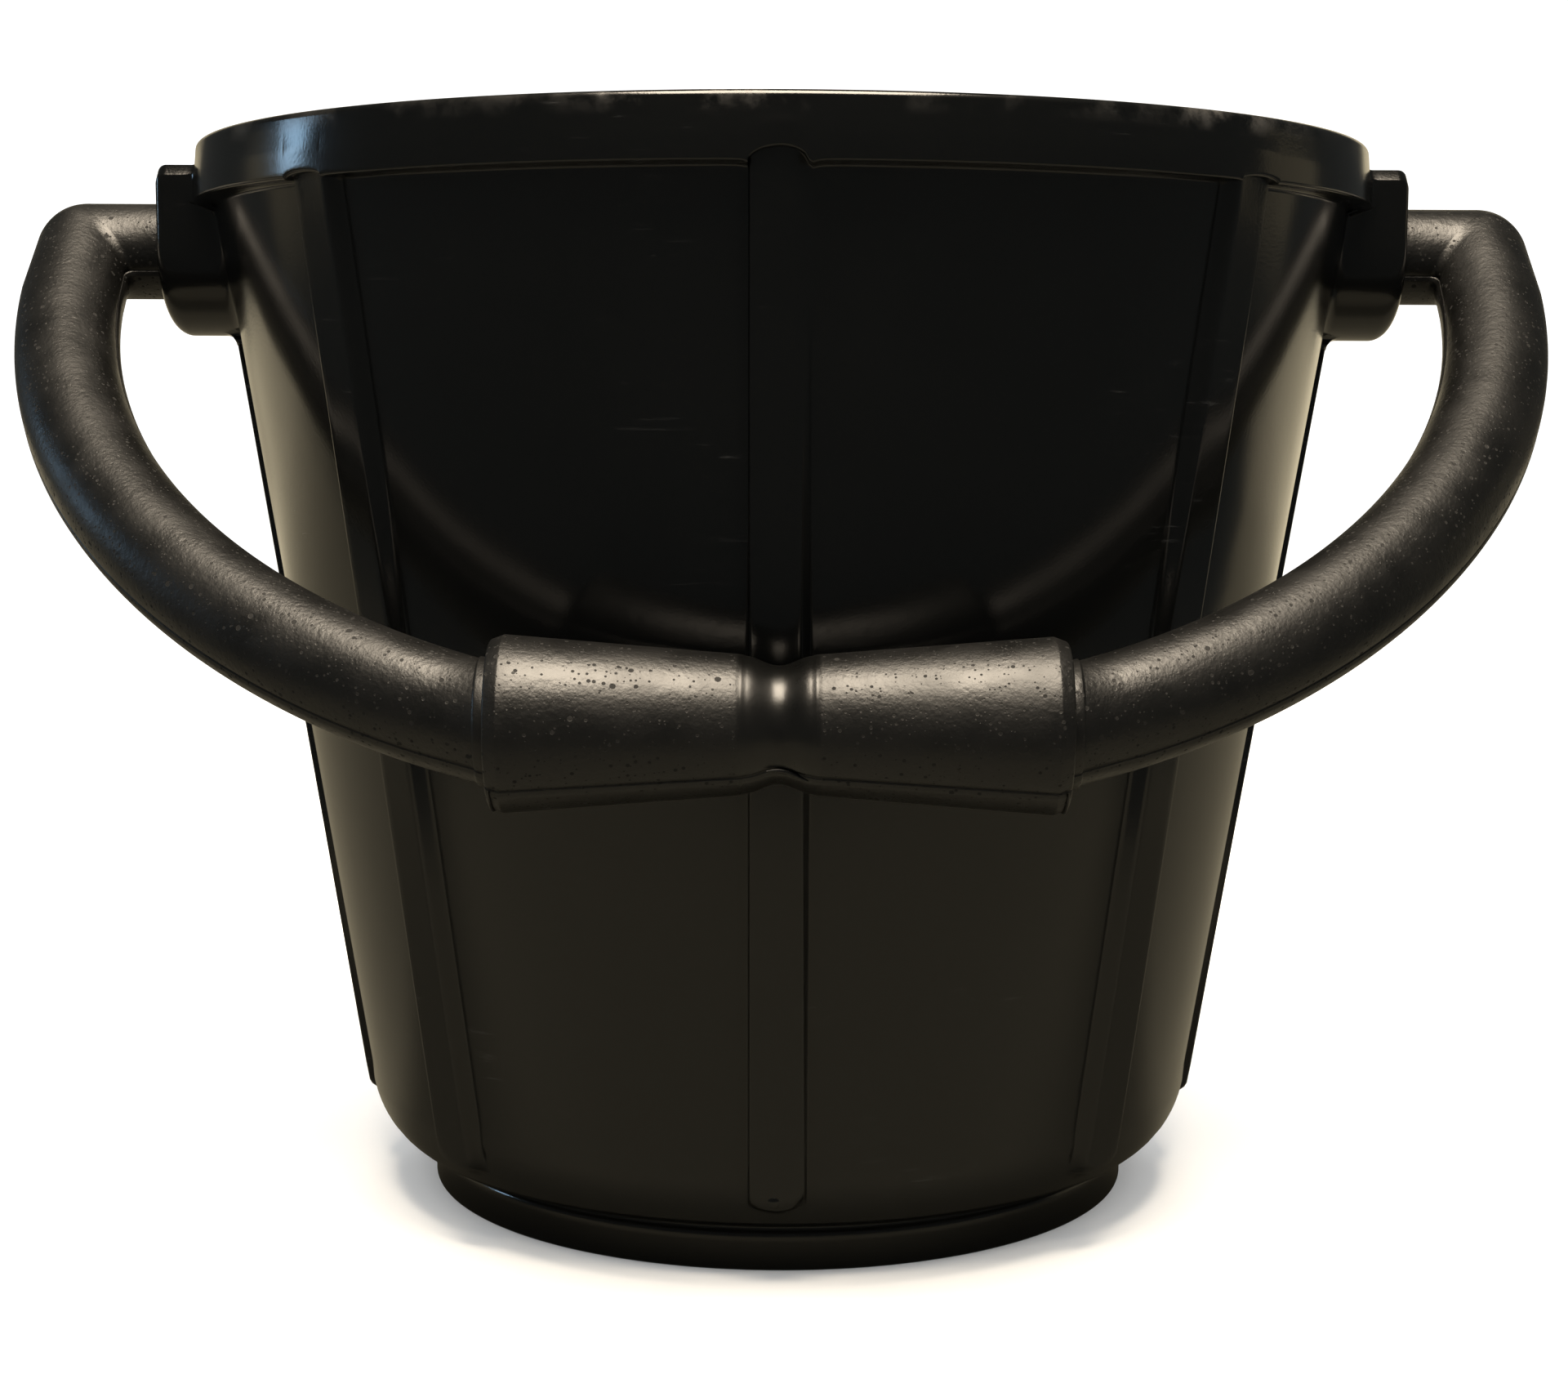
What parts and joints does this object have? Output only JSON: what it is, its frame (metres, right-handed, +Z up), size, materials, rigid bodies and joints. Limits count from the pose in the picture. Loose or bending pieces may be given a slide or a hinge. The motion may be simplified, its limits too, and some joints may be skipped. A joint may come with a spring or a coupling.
{
  "type": "feed bucket",
  "caption": "Round tapered feed bucket with ribbed wall, foot ring and thick rim, and a one-piece bail handle with a waisted grip that turns in two lugs.",
  "frame": {"origin": "centre of the base, on the plane that the bucket stands on", "axes": "+Z up, X along the handle's pivot axis, the handle rests against the front at -Y"},
  "size_m": [0.4282, 0.344, 0.2945],
  "materials": {
    "black_moulding": "satin gloss, moulded",
    "foamed_black_plastic": "fine grained and pitted, satin"
  },
  "bodies": {
    "bucket": {"bucket_body": "black_moulding"},
    "handle": {"bail_handle": "foamed_black_plastic"}
  },
  "joints": [
    {"name": "handle_pivot", "type": "hinge", "parent": "bucket", "child": "handle", "pos_m": [0, 0, 0.2675], "axis": [-1, 0, 0], "range_deg": [0, 252.8]}
  ]
}
